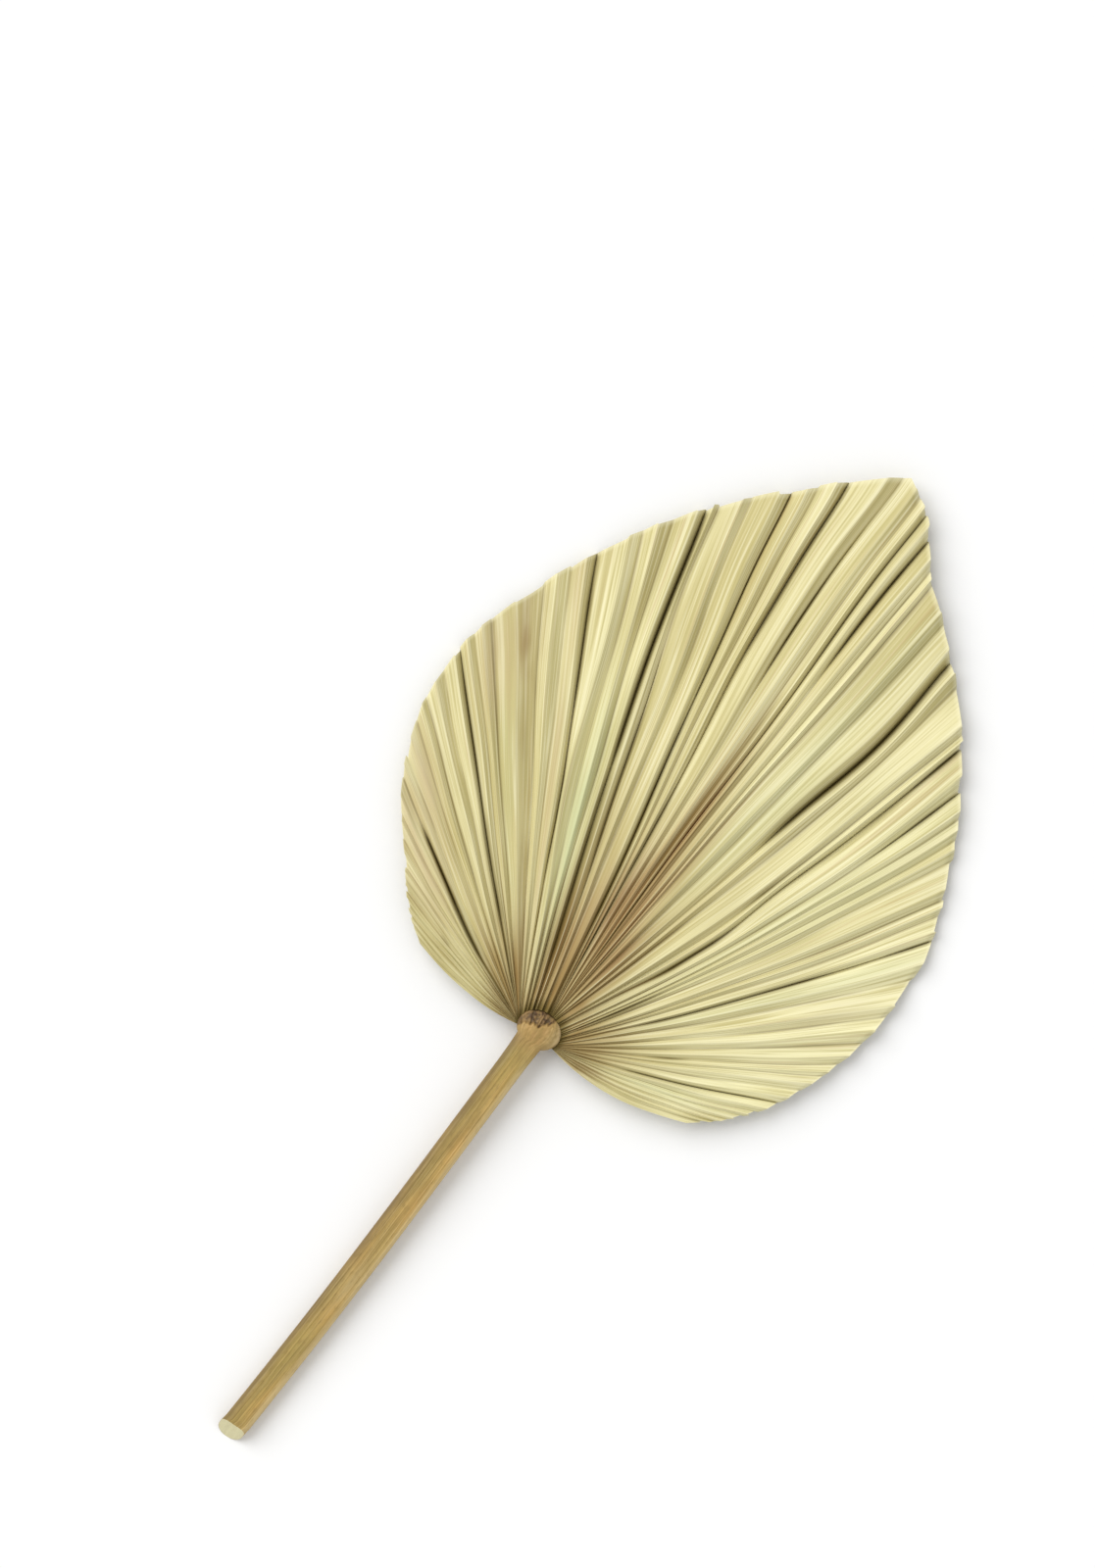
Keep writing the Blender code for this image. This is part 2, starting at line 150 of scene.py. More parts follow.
# Where a valley gets painted crease shade: margin angle, first and last share, half width, strength
PAINTED_CREASE_SHADES = (
    (-76.9, 0.60, 0.70, 0.0012, 0.9), (-62.3, 0.04, 0.40, 0.0008, 0.85),
    (-62.3, 0.26, 0.62, 0.0024, 0.8), (-62.3, 0.45, 0.84, 0.0015, 1.0),
    (-62.3, 0.70, 1.05, 0.0005, 0.5), (-52.8, 0.40, 0.90, 0.0005, 0.3),
    (-45.7, 0.04, 0.40, 0.0008, 0.85), (-45.7, 0.22, 0.62, 0.0021, 0.7),
    (-45.7, 0.24, 0.99, 0.0013, 1.0), (-40.6, 0.50, 1.00, 0.0004, 0.3),
    (-33.4, 0.30, 1.00, 0.0005, 0.4), (-26.8, 0.30, 0.62, 0.0006, 0.5),
    (-26.8, 0.66, 0.98, 0.0009, 0.8), (-22.1, 0.10, 0.40, 0.0006, 0.4),
    (-16.3, 0.06, 0.54, 0.0020, 0.7), (-16.3, 0.48, 1.04, 0.0014, 0.9),
    (-14.6, 0.28, 0.64, 0.0009, 0.7), (-9.3, 0.14, 0.64, 0.0010, 1.0), (-9.3, 0.60, 1.05, 0.0006, 0.6),
    (-5.2, 0.06, 0.30, 0.0006, 0.8), (-5.2, 0.22, 0.48, 0.0014, 0.6), (-5.2, 0.68, 1.05, 0.0012, 0.5),
    (-1.4, 0.64, 0.86, 0.0007, 0.9), (1.7, 0.24, 0.66, 0.0008, 0.7), (2.9, 0.06, 0.34, 0.0006, 0.8),
    (2.9, 0.68, 1.05, 0.0007, 0.6), (3.8, 0.24, 0.62, 0.0008, 0.6), (4.5, 0.74, 1.02, 0.0011, 1.0),
    (6.5, 0.78, 1.05, 0.0004, 0.6), (7.6, 0.06, 0.26, 0.0006, 0.7), (7.6, 0.78, 1.05, 0.0004, 0.6),
    (11.2, 0.40, 1.05, 0.0005, 0.35), (15.0, 0.53, 1.05, 0.0018, 0.95),
    (17.1, 0.50, 1.05, 0.0005, 0.35), (21.1, 0.42, 1.00, 0.0005, 0.45), (21.1, 0.44, 0.60, 0.0008, 0.8),
    (22.4, 0.20, 0.46, 0.0009, 0.95), (22.4, 0.88, 1.05, 0.0008, 0.9), (26.8, 0.84, 1.05, 0.0008, 0.8),
    (31.6, 0.06, 0.28, 0.0010, 0.7), (38.3, 0.84, 1.05, 0.0004, 0.4), (43.4, 0.20, 0.76, 0.0010, 0.75),
    (43.4, 0.87, 1.05, 0.0008, 0.85), (48.4, 0.24, 0.56, 0.0009, 0.4), (58.5, 0.30, 0.95, 0.0006, 0.35),
    (62.8, 0.33, 0.52, 0.0008, 0.8), (73.0, 0.28, 0.97, 0.0007, 0.8),
)

# Patches of other colours: margin angle, share, reach in degrees, reach in shares, strength
GREEN_PATCHES = (
    (-39, 0.60, 2.0, 0.50, 0.3), (-21, 0.40, 3.5, 0.22, 0.8), (11, 0.60, 3.0, 0.50, 0.3),
    (30, 0.60, 4.0, 0.50, 0.3), (45.5, 0.60, 1.5, 0.50, 0.3), (78, 0.60, 2.0, 0.40, 0.3),
)
PINK_PATCHES = (
    (-66, 0.80, 9.0, 0.25, 0.8), (-57, 0.88, 1.5, 0.10, 0.6), (-40.5, 0.90, 2.5, 0.12, 0.7),
    (-28.8, 0.60, 0.8, 0.60, 0.6), (-4, 0.20, 9.0, 0.10, 0.6), (52, 0.85, 3.0, 0.20, 0.3),
)
BROWN_PATCHES = (
    (-75, 0.17, 14.0, 0.10, 0.4), (-57, 0.40, 1.5, 0.30, 0.3), (-35, 0.92, 2.0, 0.10, 0.9),
    (-35, 0.50, 1.8, 0.40, 0.4), (-35, 0.00, 26.0, 0.10, 1.0), (-15.5, 0.10, 2.0, 0.25, 0.9),
    (2, 0.02, 14.0, 0.25, 1.3), (30, 0.00, 20.0, 0.09, 0.9), (60, 0.00, 20.0, 0.06, 0.7),
    (84, 0.22, 5.0, 0.13, 0.8), (-41, 0.12, 9.0, 0.11, 0.8), (64, 0.10, 14.0, 0.10, 0.7),
    (24, 0.02, 12.0, 0.04, 1.2), (5, 0.00, 45.0, 0.035, 1.2), (-60, 0.10, 10.0, 0.08, 0.5),
)
RUST_PATCHES = (
    (2.4, 0.36, 1.8, 0.17, 1.2), (-2, 0.22, 6.0, 0.08, 0.8), (4.6, 0.20, 4.0, 0.12, 0.9),
    (11, 0.16, 5.0, 0.07, 0.7), (7.5, 0.34, 0.9, 0.14, 0.7), (-13, 0.14, 2.5, 0.08, 0.6),
)
BRIGHT_PATCHES = (
    (52, 0.88, 20.0, 0.40, 1.2), (78, 0.75, 10.0, 0.30, 0.9), (23, 0.80, 7.0, 0.35, 0.7),
    (8, 0.62, 6.0, 0.12, 0.4), (-64, 0.95, 10.0, 0.18, 0.7), (-24, 0.80, 2.0, 0.20, 0.5),
    (23, 0.20, 6.0, 0.12, 0.7), (-23, 0.18, 5.0, 0.11, 0.8), (39, 0.20, 7.0, 0.12, 0.5),
)
GOLD_PATCHES = (
    (-75, 0.06, 26.0, 0.20, 1.2), (-50, 0.04, 14.0, 0.24, 1.2), (-8, 0.02, 11.0, 0.27, 1.1),
    (9, 0.02, 9.0, 0.24, 1.2), (45, 0.02, 13.0, 0.19, 1.1), (72, 0.04, 16.0, 0.22, 1.0),
)
LEAF_PATCHES = {
    "green": GREEN_PATCHES, "pink": PINK_PATCHES, "brown": BROWN_PATCHES, "gold": GOLD_PATCHES,
    "rust": RUST_PATCHES, "bright": BRIGHT_PATCHES,
}

# The fine blade
THICKNESS = 0.00034
SUB_COLUMNS = (0, 0.06, 0.18, 0.38, 0.62, 0.82, 0.94)
ROW_COUNT = 60
ROW_EVENNESS = 0.35
ROW_CROWDING = 1.7

# How steep the folds are at the margin, by margin angle, and how much steeper by the hub
SLOPES = (
    (-88, 0.30), (-66, 0.24), (-40, 0.27), (-27, 0.36), (-14, 0.32), (-8, 0.24), (12, 0.24), (25, 0.28),
    (38, 0.23), (60, 0.22), (88, 0.30),
)
SLOPE_IN = 1.20
SLOPE_FADE = 0.16

# The finer shape of the folds: how they differ and wander, their notches, the thin painted shade and
# highlight lines, ribs and ripples
FOLD_SPREAD = 0.50
FOLD_WAVE = 0.34
FOLD_ROUNDNESS = 0.8
WANDER = 0.11
WANDER_WAVES = ((1.0, 0.83, 9, 0), (1.0, 0.37, -13, 2))
SHAPE_SEED = 21
NOTCH_DEPTH = 0.0005
NOTCH_STEP = 0.0016
NOTCH_RARITY = 2
NOTCH_FULL_REACH = 0.1
LINE_REACH = 0.12
LINE_RARITY = 1.2
RIB_HEIGHT = 0.00010
RIB_GROWTH = 4
RIPPLE_HEIGHT = 0.00014
RIPPLE_WAVES = ((1.0, 0.9, 7, 0), (1.0, 0.41, -17, 1))
LEAST_UPRIGHT = 0.2
BLADE_SHARP_ANGLE = 75

# The stalk, as in the source
STALK_HEAD_X = 0.0004
STALK_HEAD_Y = 0.0045
STALK_END_X = -0.0116
STALK_END_Y = -0.2102
STALK_HALF_WIDTH = 0.0056
STALK_TOP = 0.0030
STALK_DEPTH = 0.0052
STALK_HUB_RISE = 0.0098
STALK_TOP_POWER = 0.4
STALK_BACK_POWER = 0.8
CHANNEL_DEPTH = 0.0003
CHANNEL_SHARE = 0.45
CHANNEL_EDGE = 0.02
REST_LENGTH = 0.026
CUT_SLANT = 0.0070
CUT_LENGTH = 0.0086
STALK_BOW = 0.0012
STALK_SWAY = 0.0002
HEAD_RISE = 0.00935
HEAD_HALF_HEIGHT = 0.0043
HEEL_LENGTH = 0.019
HEEL_HALF_WIDTH = 0.0065
HEEL_HALF_HEIGHT = 0.0026
HEEL_RISE = 0.0048
HEEL_Y = 0.006

# The fine stalk
STALK_SIDES = 84
SHAFT_STATIONS = 170
HUB_STATIONS = 130
HEEL_STATIONS = 26
HEEL_TIP_GAP = 0.00002
HUB_START = -0.022
HUB_END = 0.0085
CAP_SHARES = (0.97, 0.85, 0.7, 0.55, 0.4, 0.25, 0.12)
BLEND = 0.0004
FLARE_LENGTH = 0.012
FLARE = 0.0010
FIBRE_RELIEF = 0.00005
FIBRE_WAVES = ((1.0, 19, 1, 0), (0.7, 41, -2, 1))
FIBRE_WANDER_WAVES = ((0.8, 31, 3, 0),)
RELIEF_FADE = 6
STALK_SHARP_ANGLE = 40
EDGE_ROUNDING = 1e-6

# The upper left half of the head carries the fold bases, bounded by a line with this middle and turn
ROOTS_MIDDLE = (0.0, 0.0016)
ROOTS_TURN = 34
ROOTS_FALL = 0.0016
ROOTS_FADE = 0.0013
ROOTS_SOURCE = -0.012
ROOTS_GROOVES = 56
ROOTS_GROOVE_DEPTH = 0.00070
ROOTS_RAGGED = 0.0006
ROOTS_EDGE_WAVES = ((1.3, 610, 0, 1.3), (0.8, 1700, 0, 2), (0.5, 3300, 900, 0))
ROOTS_GROOVE_WAVES = ((2.0, 9, 0, 1), (1.0, 23, 0, 2))
ROOTS_GROOVE_EVENNESS = 0.7
ROOTS_UNEVEN_WAVES = ((0.3, 17, 0, 0.5),)
ROOTS_LEAN = 120
LUMP_HEIGHT = 0.00005
LUMP_WAVES = (
    (0.5, 2300, -1900, math.pi / 2 - 1), (-0.5, 2300, 1900, math.pi / 2 + 3), (0.6, 3900, -1700, 0),
)
LUMP_REACH = 0.0095
KNOB_REACH = 0.0105
KNOB_STRENGTH = 0.8

# The head's pale right face, the painted shade on the stalk's left edge and the stalk's light right edge:
# strength, and where each begins and is full
FACE_ACROSS = (0.80, 0.92)
FACE_ALONG = (-0.003, -0.001)
LEFT_SHADE = 0.55
LEFT_SHADE_ACROSS = (0.30, 0.90)
LEFT_SHADE_BELOW = (0.004, 0.008)
LIGHT_EDGE = 0.7
LIGHT_EDGE_ACROSS = (0.50, 0.90)
LIGHT_EDGE_BELOW = (0.010, 0.020)

# Patches on the stalk: distance below the hub, place across from -1 to 1, reach along and across, strength
AMBER_PATCHES = (
    (0.026, 0.4, 0.012, 0.5, 0.8), (0.058, 0.5, 0.010, 0.45, 0.9), (0.090, 0.5, 0.014, 0.5, 1.0),
    (0.118, -0.2, 0.010, 0.4, 0.5), (0.144, 0.25, 0.008, 0.5, 0.8), (0.187, 0.3, 0.014, 0.6, 0.9),
)
MOSS_PATCHES = (
    (0.016, 0.0, 0.011, 2.0, 1.0), (0.075, -0.3, 0.012, 0.6, 0.6), (0.108, 0.3, 0.014, 0.5, 0.6),
    (0.165, -0.3, 0.016, 0.6, 0.6), (0.202, 0.0, 0.006, 1.5, 0.5), (0.134, -0.5, 0.010, 0.5, 0.6),
    (0.050, -0.5, 0.014, 0.4, 0.5), (0.185, -0.4, 0.020, 0.6, 0.7), (0.168, 0.2, 0.026, 0.9, 0.6),
    (0.030, 0.2, 0.020, 0.8, 0.5),
)
PALE_PATCHES = (
    (0.040, 0.85, 0.020, 0.25, 0.6), (0.105, 0.85, 0.040, 0.22, 0.6), (0.190, 0.85, 0.030, 0.25, 0.8),
    (-0.001, 0.80, 0.005, 0.30, 1.0), (0.128, 0.1, 0.012, 0.5, 0.5),
)


def waves(rows, first, second=0):
    """Add up sine waves: each row has a height, how fast it runs along each of two values, and a start."""
    return sum(height * np.sin(one * first + two * second + start) for height, one, two, start in rows)


def ramp(value, first, last):
    """Rise evenly from 0 at the first value to 1 at the last."""
    return np.clip((value - first) / (last - first), 0, 1)


def look_up(table, angle):
    """Read a table of (angle, value) pairs at one angle or at an array of them."""
    angles, values = zip(*table)
    return np.interp(angle, angles, values)


def base_folds(valleys, last_ridge, draw):
    """Pair each evenly spaced valley by a base edge with a ridge that is drawn a little off the middle."""
    folds = []
    for valley in valleys:
        folds.append((valley, valley + BASE_PITCH * (0.5 + RIDGE_DRIFT * draw.uniform(-1, 1))))
    folds[-1] = (folds[-1][0], last_ridge)
    return folds


def fold_angles():
    """Give the margin angles of all folds, with -1 for a valley and +1 for a ridge."""
    draw = np.random.default_rng(RIDGE_SEED)
    folds = base_folds(LEFT_BASE_VALLEYS, LEFT_BASE_END, draw) + list(GROWN_FOLDS)
    folds += base_folds(RIGHT_BASE_VALLEYS, LAST_ANGLE, draw)
    angles = np.concatenate([[FIRST_ANGLE], np.ravel(folds)])
    return angles, np.where(np.arange(len(angles)) % 2, -1, 1)


FOLD_ANGLES, FOLD_SIGNS = fold_angles()


def ring_point(angle):
    """Find the place on the hub's ring where a fold line starts."""
    turn = np.radians(look_up(RING_TURNS, angle))
    return np.stack([RING_X + RING_HALF_WIDTH * np.sin(turn), RING_HALF_DEPTH * np.cos(turn)], -1)


def drifted(angle, share):
    """Give the margin angle that a wandering fold line has moved to at a share of its way."""
    moved = np.array(angle, float)
    for middle, at, shift, wide, long in DRIFTS:
        moved += shift * np.exp(-(((angle - middle) / wide) ** 2) - ((share - at) / long) ** 2)
    return moved + WANDER * waves(WANDER_WAVES, angle, share)


def margin_notches():
    """Draw how far the two ends of each panel are cut back at the margin, as places and depths."""
    draw = np.random.default_rng(SHAPE_SEED)
    places = []
    depths = []
    for k in range(len(FOLD_ANGLES) - 1):
        width = FOLD_ANGLES[k + 1] - FOLD_ANGLES[k]
        step = NOTCH_STEP * draw.uniform(0, 1) ** NOTCH_RARITY
        for part, sign in ((0.06, FOLD_SIGNS[k]), (0.94, FOLD_SIGNS[k + 1])):
            places.append(FOLD_ANGLES[k] + part * width)
            depths.append(step + (NOTCH_DEPTH * draw.uniform(0.3, 1.2) if sign < 0 else 0))
    return np.array(places), np.array(depths)


NOTCH_PLACES, NOTCHES = margin_notches()


def margin_point(angle, moved):
    """Find the outer end of a fold line."""
    notch = np.interp(angle, NOTCH_PLACES, NOTCHES)
    reach = look_up(MARGIN, moved)
    reach = reach - notch * np.clip(reach / NOTCH_FULL_REACH, 0, 1)
    turn = np.radians(moved)
    return np.stack([reach * np.sin(turn), reach * np.cos(turn)], -1)


def fold_point(angle, share):
    """Follow a fold line from the ring (share 0) to the margin (share 1), seen from above."""
    moved = drifted(angle, share)
    start = ring_point(moved)
    end = margin_point(angle, moved)
    run = end - start
    right = np.stack([run[..., 1], -run[..., 0]], -1)
    middle = start + PATH_LEAN * run + 2 * look_up(BOW, moved)[..., None] * right
    t = share
    return (1 - t) ** 2 * start + 2 * t * (1 - t) * middle + t * t * end


def sheet_height(place, angle, share):
    """Give the broad height of the sheet, before its pleats."""
    across = place[..., 0] / BLADE_HALF_WIDTH
    along = np.clip(place[..., 1] / BLADE_LENGTH, 0, 1)
    wave = WAVE_HEIGHT * share * np.sin(np.radians(angle) * WAVES + WAVE_START)
    ripple = RIPPLE_HEIGHT * share * waves(RIPPLE_WAVES, angle, share)
    return HUB_RISE - SIDE_DROOP * across ** 2 - TIP_DROP * along ** 2 + wave + ripple


def row_shares():
    """Space the rows: close together at the hub, wider apart towards the margin."""
    even = np.linspace(0, 1, ROW_COUNT)
    return ROW_EVENNESS * even + (1 - ROW_EVENNESS) * even ** ROW_CROWDING


def blade_columns():
    """Give the margin angles of the fine columns, and fold coordinates that are whole at each fold."""
    coordinate = [k + t for k in range(len(FOLD_ANGLES) - 1) for t in SUB_COLUMNS]
    coordinate.append(len(FOLD_ANGLES) - 1)
    coordinate = np.array(coordinate, float)
    return np.interp(coordinate, np.arange(len(FOLD_ANGLES)), FOLD_ANGLES), coordinate


def fold_characters():
    """Draw each fold's own steepness and the slow waves along it."""
    draw = np.random.default_rng(SHAPE_SEED + 1)
    count = len(FOLD_ANGLES)
    return {
        "size": 1 + FOLD_SPREAD * draw.uniform(-1, 1, count),
        "waves": draw.uniform(1.2, 3.2, count),
        "start": draw.uniform(0, 2 * math.pi, count),
    }


def fold_heights(share, characters):
    """Give the height of every fold at one share: steep and tight by the hub, open and low by the margin."""
    folds = fold_point(FOLD_ANGLES, share)
    steps = np.linalg.norm(np.diff(folds, axis=0), axis=1)
    widths = 0.5 * (np.append(steps, steps[-1]) + np.insert(steps, 0, steps[0]))
    slope = look_up(SLOPES, FOLD_ANGLES) + SLOPE_IN * math.exp(-share / SLOPE_FADE)
    wave = 1 + FOLD_WAVE * np.sin(2 * math.pi * characters["waves"] * share + characters["start"])
    return FOLD_SIGNS * np.minimum(PLEAT_LIMIT, 0.5 * slope * widths) * characters["size"] * wave


def distance_from_fold(angle, share, places):
    """Give the distance of a row's points from one fold line."""
    return np.linalg.norm(places - fold_point(np.array([float(angle)]), share), axis=1)


def window(share, first, last):
    """Fade a crease or a painted crease shade in and out at its ends."""
    return np.clip((share - first) / CREASE_FADE, 0, 1) * np.clip((last - share) / CREASE_FADE, 0, 1)


def crease_fall(share, places):
    """Give the fall of the pinched creases along one row."""
    fall = np.zeros(len(places))
    for middle, depth, half_width, first, last in CREASES:
        open_here = window(share, first, last)
        if open_here > 0:
            growth = min(1, CREASE_GROWTH * share)
            reach = half_width * (CREASE_LEAST_WIDTH + (1 - CREASE_LEAST_WIDTH) * growth)
            gap = distance_from_fold(middle, share, places)
            fall += depth * open_here * growth * np.exp(-gap / reach)
    return fall


def crease_shade_strength(share, places):
    """Give how strong the painted shade in the darkened valleys is along one row, 0 to 1."""
    dark = np.zeros(len(places))
    for middle, first, last, half_width, strength in PAINTED_CREASE_SHADES:
        open_here = window(share, first, last)
        if open_here > 0:
            gap = distance_from_fold(middle, share, places)
            dark = np.maximum(dark, strength * open_here * np.exp(-((gap / half_width) ** 2)))
    return dark


def patch_strength(patches, angle, share):
    """Add up the patches of one colour at the points of one row."""
    total = np.zeros(len(angle))
    for middle, at, wide, long, strength in patches:
        total += strength * np.exp(-(((angle - middle) / wide) ** 2) - ((share - at) / long) ** 2)
    return np.clip(total, 0, 1)


def panel_profile(coordinate):
    """Give the shape across the panels: rounded folds, a rib on each ridge and a groove in each valley."""
    part = coordinate - np.floor(coordinate)
    eased = part + FOLD_ROUNDNESS * (part * part * (3 - 2 * part) - part)
    nearest = np.abs(coordinate - np.round(coordinate))
    close = np.clip(1 - nearest / SUB_COLUMNS[2], 0, 1)
    ridge = FOLD_SIGNS[np.round(coordinate).astype(int)] > 0
    return np.floor(coordinate) + eased, np.where(ridge, close, 0), np.where(ridge, 0, close)


def fold_lines(coordinate):
    """Draw how strong the thin painted shade line in each valley and the thin painted highlight line on each
    ridge is.
    """
    draw = np.random.default_rng(SHAPE_SEED + 3)
    strength = draw.uniform(0, 1, len(FOLD_ANGLES)) ** LINE_RARITY
    fold = np.round(coordinate).astype(int)
    line = np.clip(1 - np.abs(coordinate - fold) / LINE_REACH, 0, 1) * strength[fold]
    return np.where(FOLD_SIGNS[fold] < 0, line, 0), np.where(FOLD_SIGNS[fold] > 0, line, 0)


def panel_values(coordinate):
    """Draw a tone from -1 to 1 for each panel, and how much painted olive shade it gets: more where it faces
    from the light.
    """
    draw = np.random.default_rng(SHAPE_SEED + 2)
    count = len(FOLD_ANGLES) - 1
    tones = draw.uniform(-1, 1, count)
    # painted olive shade: strong on the panels that fall away from the light, weak on the others
    painted_fold_shade = np.where(FOLD_SIGNS[:-1] > 0, draw.uniform(0.1, 1.0, count), draw.uniform(0, 0.25, count))
    panel = np.minimum(np.floor(coordinate).astype(int), count - 1)
    before = np.maximum(panel - 1, 0)
    near = np.where(coordinate == np.round(coordinate), before, panel)
    return [0.5 * (drawn[panel] + drawn[near]) for drawn in (tones, painted_fold_shade)]


def blade_grid():
    """Work out the blade's upper face: places row by row, and what the material reads at each point."""
    columns, coordinate = blade_columns()
    shares = row_shares()
    characters = fold_characters()
    eased, rib, groove = panel_profile(coordinate)
    tone, painted_fold_shade = panel_values(coordinate)
    valley_shade_line, ridge_highlight_line = fold_lines(coordinate)
    whole = np.arange(len(FOLD_ANGLES))
    points = np.zeros((len(shares), len(columns), 3))
    values = {name: np.zeros((len(shares), len(columns))) for name in ("painted_crease_shade", *LEAF_PATCHES)}
    for row, share in enumerate(shares):
        places = fold_point(columns, share)
        heights = fold_heights(share, characters)
        rise = sheet_height(places, columns, share) + np.interp(eased, whole, heights)
        rise += RIB_HEIGHT * (rib - groove) * min(1, RIB_GROWTH * share) - crease_fall(share, places)
        points[row, :, 0] = HUB_X + places[:, 0]
        points[row, :, 1] = HUB_Y + places[:, 1]
        points[row, :, 2] = rise
        moved = drifted(columns, share)
        # painted shade in the pinched creases
        values["painted_crease_shade"][row] = crease_shade_strength(share, places)
        for name, patches in LEAF_PATCHES.items():
            values[name][row] = patch_strength(patches, moved, share)
    values["along"] = np.tile(shares[:, None], (1, len(columns)))
    for name, row in (
        ("across", coordinate), ("groove", groove), ("tone", tone), ("painted_fold_shade", painted_fold_shade),
        ("valley_shade_line", valley_shade_line), ("ridge_highlight_line", ridge_highlight_line),
    ):
        values[name] = np.tile(row, (len(shares), 1))
    return points, values


def steepest(points):
    """Give the smallest upright part of the normals of the faces round each grid point."""
    a = points[:-1, :-1]
    b = points[:-1, 1:]
    c = points[1:, 1:]
    d = points[1:, :-1]
    least = np.ones(points.shape[:2])
    for first, second, third in ((a, b, c), (a, c, d)):
        normal = np.cross(second - first, third - first)
        upright = np.abs(normal[..., 2]) / np.maximum(np.linalg.norm(normal, axis=-1), 1e-12)
        for rows, columns in (
            (slice(None, -1), slice(None, -1)), (slice(None, -1), slice(1, None)),
            (slice(1, None), slice(1, None)), (slice(1, None), slice(None, -1)),
        ):
            least[rows, columns] = np.minimum(least[rows, columns], upright)
    return np.maximum(least, LEAST_UPRIGHT)


def sheet_faces(rows, columns):
    """Give the triangles of a closed sheet: its upper grid, its lower grid and the rim between them."""
    index = np.arange(rows * columns).reshape(rows, columns)
    a = index[:-1, :-1].ravel()
    b = index[:-1, 1:].ravel()
    c = index[1:, 1:].ravel()
    d = index[1:, :-1].ravel()
    upper = np.concatenate([np.stack([a, b, c], 1), np.stack([a, c, d], 1)])
    lower = upper[:, ::-1] + rows * columns
    loop = np.concatenate([index[0, :-1], index[:-1, -1], index[-1, :0:-1], index[:0:-1, 0]])
    after = np.roll(loop, -1)
    under = loop + rows * columns
    under_after = after + rows * columns
    rim = np.concatenate([np.stack([loop, under, under_after], 1), np.stack([loop, under_after, after], 1)])
    return np.concatenate([upper, lower, rim])


def mesh_object(name, points, faces, values):
    """Make an object from points and faces, with named values at the points."""
    mesh = bpy.data.meshes.new(name)
    mesh.from_pydata(points.tolist(), [], faces)
    for key, numbers in values.items():
        layer = mesh.attributes.new(key, "FLOAT", "POINT")
        layer.data.foreach_set("value", np.ascontiguousarray(numbers, np.float32).ravel())
    mesh.validate()
    thing = bpy.data.objects.new(name, mesh)
    bpy.context.scene.collection.objects.link(thing)
    return thing


def make_blade():
    """Model the blade as a closed thin sheet, pressed flat where it would go through the floor."""
    points, values = blade_grid()
    drop = THICKNESS / steepest(points)
    points[..., 2] = np.maximum(points[..., 2], drop)
    lower = points.copy()
    lower[..., 2] -= drop
    rows, columns = points.shape[:2]
    both = np.concatenate([points.reshape(-1, 3), lower.reshape(-1, 3)])
    doubled = {key: np.concatenate([numbers.ravel(), numbers.ravel()]) for key, numbers in values.items()}
    blade = mesh_object("leaf_blade", both, sheet_faces(rows, columns).tolist(), doubled)
    blade.data.shade_smooth()
    blade.data.set_sharp_from_angle(angle=math.radians(BLADE_SHARP_ANGLE))
    return blade


def stalk_middle(y):
    """Give the middle of the stalk's shaft at a distance y along the leaf from the hub."""
    share = np.clip((STALK_HEAD_Y - y) / (STALK_HEAD_Y - STALK_END_Y), 0, 1)
    x = STALK_HEAD_X + (STALK_END_X - STALK_HEAD_X) * share
    x += STALK_BOW * np.sin(math.pi * share) - STALK_SWAY * np.sin(2 * math.pi * share)
    rest_share = 1 - REST_LENGTH / (STALK_HEAD_Y - STALK_END_Y)
    z = STALK_HUB_RISE + (STALK_DEPTH - STALK_HUB_RISE) * np.minimum(share / rest_share, 1)
    return x, z


def shaft_width(y):
    """Give the shaft's half width: it flares a little into the head."""
    return STALK_HALF_WIDTH + FLARE * np.exp(-(((y - STALK_HEAD_Y) / FLARE_LENGTH) ** 2))


def lump_half_width(y, centre, half_width, half_length):
    """Give how wide a squashed ball is at y, or nothing past its ends."""
    return half_width * np.sqrt(np.maximum(0, 1 - ((y - centre) / half_length) ** 2))


def section_span(y):
    """Give the left and right side of the stalk, its head and its heel together at y."""
    lefts = []
    rights = []
    if y <= STALK_HEAD_Y:
        middle = float(stalk_middle(y)[0])
        wide = float(shaft_width(y))
        lefts.append(middle - wide)
        rights.append(middle + wide)
    for centre, place, half_width, half_length in (
        (RING_X, 0.0, RING_HALF_WIDTH, RING_HALF_DEPTH), (0.0, HEEL_Y, HEEL_HALF_WIDTH, HEEL_LENGTH),
    ):
        wide = float(lump_half_width(y, place, half_width, half_length))
        if wide > 0:
            lefts.append(centre - wide)
            rights.append(centre + wide)
    return min(lefts), max(rights)


def blended(first, second, sign):
    """Take the higher (sign 1) or the lower (sign -1) of two faces, rounded where they meet."""
    return sign * BLEND * np.logaddexp(sign * first / BLEND, sign * second / BLEND)


def lump_face(x, y, centre, half_sizes, sign):
    """Give the upper or lower face of a squashed ball, far off where there is none."""
    room = 1 - ((x - centre[0]) / half_sizes[0]) ** 2 - ((y - centre[1]) / half_sizes[1]) ** 2
    return np.where(room > 0, centre[2] + sign * half_sizes[2] * np.sqrt(np.maximum(room, 0)), -sign)


